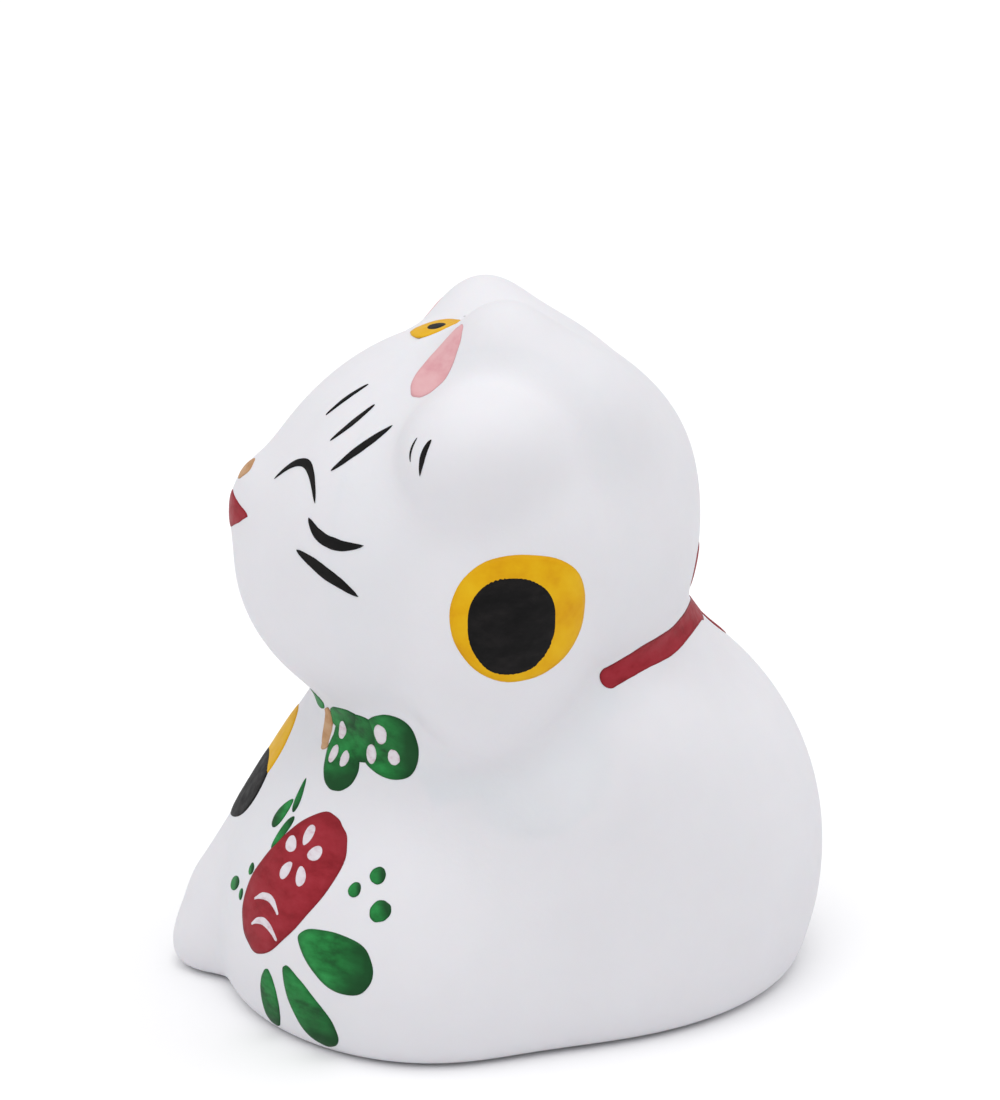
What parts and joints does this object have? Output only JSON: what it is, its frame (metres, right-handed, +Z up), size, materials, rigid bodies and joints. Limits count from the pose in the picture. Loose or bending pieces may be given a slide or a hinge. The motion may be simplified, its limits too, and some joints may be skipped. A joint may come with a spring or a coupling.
{
  "type": "beckoning cat figurine",
  "caption": "Small hollow ceramic cat that sits on a flat base with its left foreleg raised beside its head, painted by hand.",
  "frame": {"origin": "bottom centre of the base, on the table", "axes": "+Z up, the cat faces -Y, its left side is +X"},
  "size_m": [0.0582, 0.0713, 0.0798],
  "materials": {
    "clay": "unglazed bisque, chalky matt white",
    "red_paint": "hand brushed acrylic, raspberry red",
    "green_paint": "hand brushed acrylic, leaf green with darker pools",
    "yellow_paint": "hand brushed acrylic, golden yellow",
    "black_paint": "hand brushed acrylic, soft black",
    "pink_paint": "hand brushed acrylic, dusty pink",
    "tan_paint": "hand brushed acrylic, tan",
    "pale_paint": "hand brushed acrylic, pinkish white"
  },
  "bodies": {
    "root": {"head_shell": "clay", "body_shell": "clay", "base_plug": "clay", "left_ear": "clay", "right_ear": "clay", "raised_foreleg": "clay", "standing_foreleg": "clay", "nose_paint": "tan_paint", "mouth_paint": "red_paint", "left_eye_line": "black_paint", "right_eye_line": "black_paint", "left_brow_marks": "black_paint", "right_brow_marks": "black_paint", "left_whiskers": "black_paint", "right_whiskers": "black_paint", "left_inner_ear": "pink_paint", "right_inner_ear": "pink_paint", "head_spot_rim": "yellow_paint", "head_spot": "black_paint", "arm_spot_rim": "yellow_paint", "arm_spot": "black_paint", "foreleg_spot_rim": "yellow_paint", "foreleg_spot": "black_paint", "paw_toe_lines": "black_paint", "neck_bow": "green_paint", "neck_bow_dots": "pale_paint", "neck_bow_knot": "tan_paint", "chest_seal": "red_paint", "seal_blossom": "pale_paint", "chest_leaves": "green_paint", "chest_dots": "green_paint", "collar_band": "red_paint", "nape_bow": "red_paint"}
  },
  "joints": []
}
